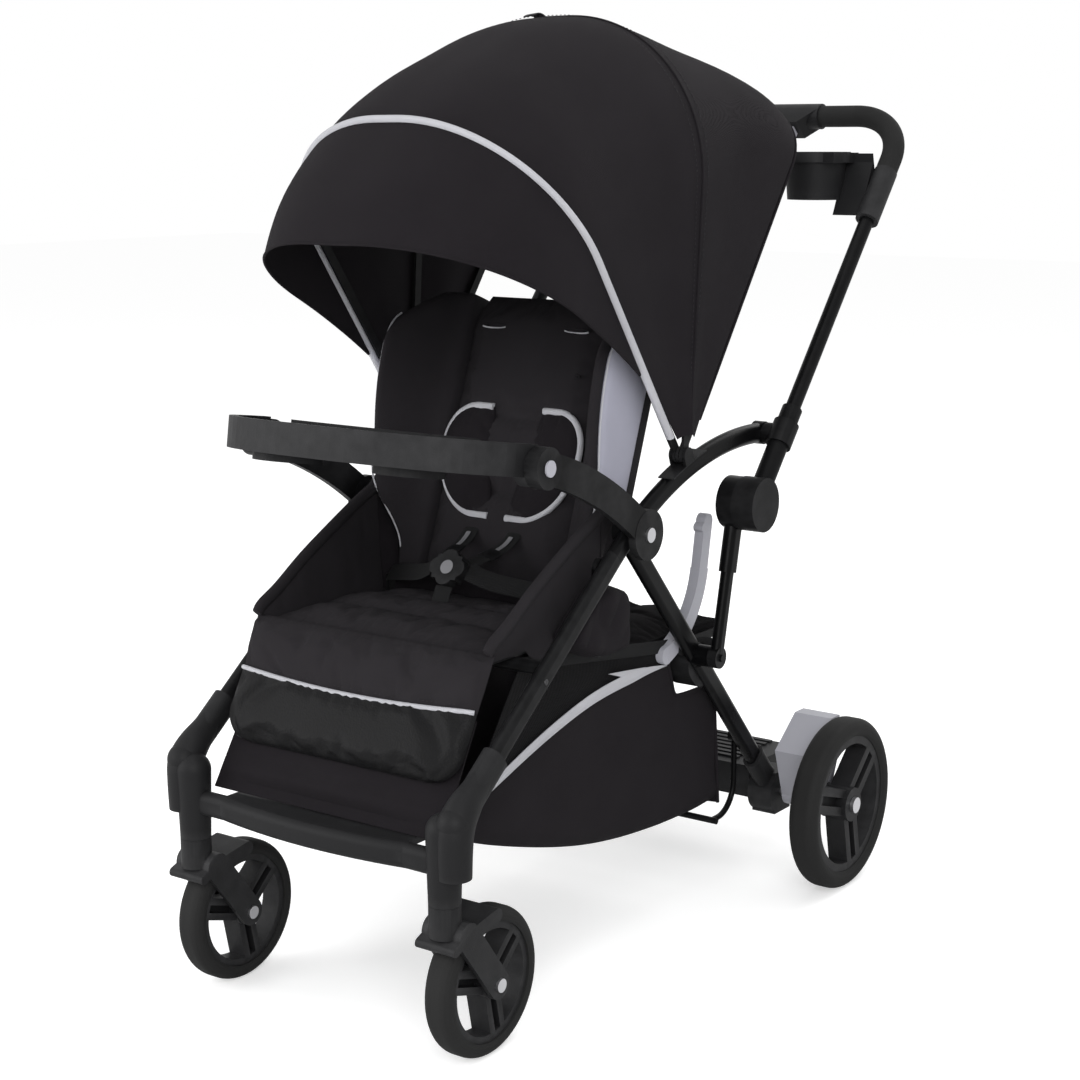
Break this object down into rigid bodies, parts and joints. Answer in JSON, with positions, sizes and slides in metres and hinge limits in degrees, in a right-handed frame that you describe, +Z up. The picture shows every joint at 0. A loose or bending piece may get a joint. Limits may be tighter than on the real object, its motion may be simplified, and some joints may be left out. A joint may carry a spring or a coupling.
{
  "type": "tandem stroller",
  "caption": "Folding sit-and-stand stroller with a reclining front seat, hooded canopy, child tray, rear bench and standing platform on swivel front casters.",
  "frame": {"origin": "on the floor, below the middle of the overall length and width", "axes": "+X to the rider's left, -Y to the front, +Z up"},
  "size_m": [0.5998, 1.0395, 1.1713],
  "materials": {
    "black_tube": "satin black powder coat",
    "black_plastic": "fine pebbled black",
    "grey_plastic": "smooth light grey",
    "steel": "plain zinc",
    "black_fabric": "plain woven black",
    "vinyl": "embossed vinyl",
    "foam": "closed-cell foam",
    "tyre_rubber": "moulded tread"
  },
  "bodies": {
    "front_frame": {"front_legs": "black_tube", "arm_tubes": "black_tube", "leg_socket_left": "black_plastic", "leg_socket_right": "black_plastic", "footrest_bar": "black_plastic", "tray_arm_left": "black_plastic", "tray_arm_right": "black_plastic", "hub_pins": "steel", "canopy_clips": "black_plastic", "seat_cross_tubes": "black_tube", "seat_board": "black_plastic", "seat_cushion": "black_fabric", "calf_rest": "vinyl", "footwell_panel": "black_fabric", "basket": "black_fabric", "lower_harness": "black_fabric", "buckle": "black_plastic"},
    "buckle_release": {"buckle_button": "grey_plastic"},
    "tray_release_left": {"tray_button_left": "grey_plastic"},
    "tray_release_right": {"tray_button_right": "grey_plastic"},
    "tray": {"child_tray": "black_plastic"},
    "backrest": {"backrest_board": "black_plastic", "backrest_pad": "black_fabric", "shoulder_straps": "black_fabric", "harness_pads": "black_fabric"},
    "handle": {"handle_tube": "black_tube", "handle_grip": "foam", "fold_housing": "black_plastic", "handle_sleeves": "black_plastic", "parent_tray": "black_plastic"},
    "fold_release": {"fold_trigger": "grey_plastic"},
    "strut_pair": {"struts": "black_tube"},
    "rear_frame": {"rear_legs": "black_tube", "axle_boots": "black_plastic", "rear_axle": "steel", "platform": "black_plastic", "bench_board": "black_plastic", "bench_cushion": "black_fabric", "grab_arms": "grey_plastic", "basket_wire": "black_tube"},
    "brake_left": {"brake_pedal_left": "grey_plastic"},
    "brake_right": {"brake_pedal_right": "grey_plastic"},
    "caster_left": {"caster_fork_left": "black_plastic", "front_axle_left": "steel"},
    "caster_right": {"caster_fork_right": "black_plastic", "front_axle_right": "steel"},
    "front_wheel_left": {"front_rim_left": "black_plastic", "front_tyre_left": "tyre_rubber"},
    "front_wheel_right": {"front_rim_right": "black_plastic", "front_tyre_right": "tyre_rubber"},
    "rear_wheel_left": {"rear_rim_left": "black_plastic", "rear_tyre_left": "tyre_rubber"},
    "rear_wheel_right": {"rear_rim_right": "black_plastic", "rear_tyre_right": "tyre_rubber"},
    "canopy_rear_bow": {"bow_rear": "black_plastic"},
    "canopy_mid_bow": {"bow_mid": "black_plastic", "canopy_rear_panel": "black_fabric"},
    "canopy_front_bow": {"bow_front": "black_plastic", "canopy_front_panel": "black_fabric", "canopy_visor": "black_fabric"}
  },
  "joints": [
    {"name": "frame_fold", "type": "hinge", "parent": "front_frame", "child": "handle", "pos_m": [0, 0.15786, 0.64531], "axis": [1, 0, 0], "range_deg": [0, 100]},
    {"name": "rear_leg_fold", "type": "hinge", "parent": "front_frame", "child": "rear_frame", "pos_m": [0, -0.13825, 0.55735], "axis": [1, 0, 0], "range_deg": [0, 22.7]},
    {"name": "strut_swing", "type": "hinge", "parent": "rear_frame", "child": "strut_pair", "pos_m": [0, 0.04537, 0.36627], "axis": [1, 0, 0], "range_deg": [-56.38, 0]},
    {"name": "canopy_rear_swing", "type": "hinge", "parent": "front_frame", "child": "canopy_rear_bow", "pos_m": [0, -0.04528, 0.64155], "axis": [1, 0, 0], "range_deg": [0, 88.02]},
    {"name": "canopy_mid_swing", "type": "hinge", "parent": "canopy_rear_bow", "child": "canopy_mid_bow", "pos_m": [0, -0.04528, 0.64155], "axis": [1, 0, 0], "range_deg": [-28.02, 0], "deforming": ["canopy_rear_panel"]},
    {"name": "canopy_front_swing", "type": "hinge", "parent": "canopy_mid_bow", "child": "canopy_front_bow", "pos_m": [0, -0.04528, 0.64155], "axis": [1, 0, 0], "range_deg": [-36.02, 0], "deforming": ["canopy_front_panel", "canopy_visor"]},
    {"name": "backrest_recline", "type": "hinge", "parent": "front_frame", "child": "backrest", "pos_m": [0, -0.153, 0.47], "axis": [-1, 0, 0], "range_deg": [0, 28]},
    {"name": "tray_tilt", "type": "hinge", "parent": "front_frame", "child": "tray", "pos_m": [0, -0.34525, 0.66435], "axis": [-1, 0, 0], "range_deg": [0, 30]},
    {"name": "tray_release_left_press", "type": "slide", "parent": "front_frame", "child": "tray_release_left", "axis": [-1, 0, 0], "range_m": [0, 0.0025], "stiffness_N_per_m": 400},
    {"name": "tray_release_right_press", "type": "slide", "parent": "front_frame", "child": "tray_release_right", "axis": [1, 0, 0], "range_m": [0, 0.0025], "stiffness_N_per_m": 400},
    {"name": "buckle_press", "type": "slide", "parent": "front_frame", "child": "buckle_release", "axis": [0, 0.848, -0.5299], "range_m": [0, 0.0015], "stiffness_N_per_m": 400},
    {"name": "fold_release_squeeze", "type": "slide", "parent": "handle", "child": "fold_release", "axis": [0, 0.6436, 0.7654], "range_m": [0, 0.006], "stiffness_N_per_m": 500},
    {"name": "brake_left_press", "type": "hinge", "parent": "rear_frame", "child": "brake_left", "pos_m": [0.22, 0.283, 0.119], "axis": [-1, 0, 0], "range_deg": [0, 18]},
    {"name": "brake_right_press", "type": "hinge", "parent": "rear_frame", "child": "brake_right", "pos_m": [-0.22, 0.283, 0.119], "axis": [-1, 0, 0], "range_deg": [0, 18]},
    {"name": "caster_left_swivel", "type": "hinge", "parent": "front_frame", "child": "caster_left", "pos_m": [0.19, -0.497, 0.199], "axis": [0, 0, 1], "continuous": true},
    {"name": "caster_right_swivel", "type": "hinge", "parent": "front_frame", "child": "caster_right", "pos_m": [-0.19, -0.497, 0.199], "axis": [0, 0, 1], "continuous": true},
    {"name": "front_wheel_left_spin", "type": "hinge", "parent": "caster_left", "child": "front_wheel_left", "pos_m": [0.19, -0.432, 0.0875], "axis": [1, 0, 0], "continuous": true},
    {"name": "front_wheel_right_spin", "type": "hinge", "parent": "caster_right", "child": "front_wheel_right", "pos_m": [-0.19, -0.432, 0.0875], "axis": [1, 0, 0], "continuous": true},
    {"name": "rear_wheel_left_spin", "type": "hinge", "parent": "rear_frame", "child": "rear_wheel_left", "pos_m": [0.274, 0.283, 0.119], "axis": [1, 0, 0], "continuous": true},
    {"name": "rear_wheel_right_spin", "type": "hinge", "parent": "rear_frame", "child": "rear_wheel_right", "pos_m": [-0.274, 0.283, 0.119], "axis": [1, 0, 0], "continuous": true}
  ],
  "couplings": [
    {"joint": "rear_leg_fold", "follows": "frame_fold", "ratio": 0.22681},
    {"joint": "strut_swing", "follows": "frame_fold", "ratio": -0.56358},
    {"joint": "canopy_rear_swing", "follows": "frame_fold", "ratio": 0.88},
    {"joint": "canopy_mid_swing", "follows": "frame_fold", "ratio": -0.28},
    {"joint": "canopy_front_swing", "follows": "frame_fold", "ratio": -0.36}
  ]
}
